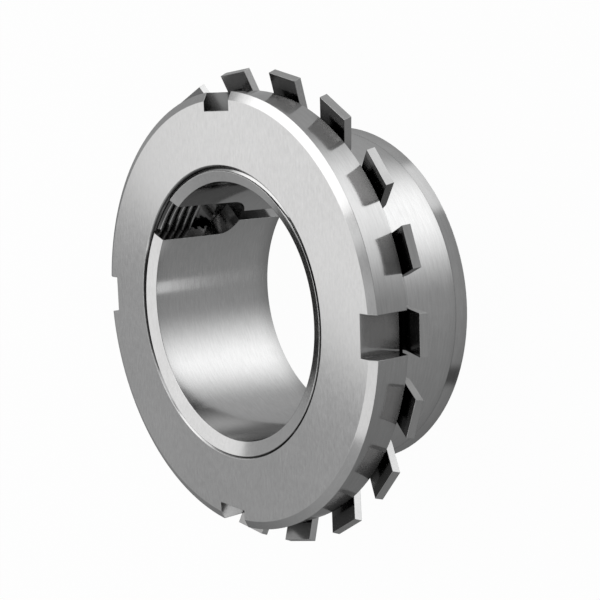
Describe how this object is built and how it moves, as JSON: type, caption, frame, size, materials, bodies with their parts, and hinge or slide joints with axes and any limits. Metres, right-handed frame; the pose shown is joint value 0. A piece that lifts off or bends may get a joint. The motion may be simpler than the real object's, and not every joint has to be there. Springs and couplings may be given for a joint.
{
  "type": "shaft locking assembly",
  "caption": "Split taper ring, closed outer ring, toothed washer and slotted ring nut that clamp a hub on a plain shaft.",
  "frame": {"origin": "centre of the shaft bore on the large end face of the inner ring", "axes": "+Z along the bore towards the nut, +X through the washer tab that lies behind a nut slot"},
  "size_m": [0.0642, 0.0646, 0.0214],
  "materials": {
    "ring_steel": "satin turned steel",
    "nut_steel": "satin turned steel",
    "washer_steel": "satin stamped steel"
  },
  "bodies": {
    "inner_ring": {"inner_ring": "ring_steel"},
    "outer_ring": {"outer_ring": "ring_steel"},
    "lock_washer": {"lock_washer": "washer_steel"},
    "lock_nut": {"lock_nut": "nut_steel"}
  },
  "joints": [
    {"name": "washer_slide", "type": "slide", "parent": "inner_ring", "child": "lock_washer", "axis": [0, 0, 1], "range_m": [0, 0.00375]},
    {"name": "nut_turn", "type": "hinge", "parent": "lock_washer", "child": "lock_nut", "pos_m": [0, 0, 0.018], "axis": [0, 0, 1], "range_deg": [0, 1080]},
    {"name": "outer_ring_slide", "type": "slide", "parent": "inner_ring", "child": "outer_ring", "axis": [0, 0, 1], "range_m": [0, 0.00375]}
  ],
  "couplings": [
    {"joint": "washer_slide", "follows": "nut_turn", "m_per_rad": 0.00019894},
    {"joint": "outer_ring_slide", "follows": "nut_turn", "m_per_rad": 0.00019894}
  ]
}
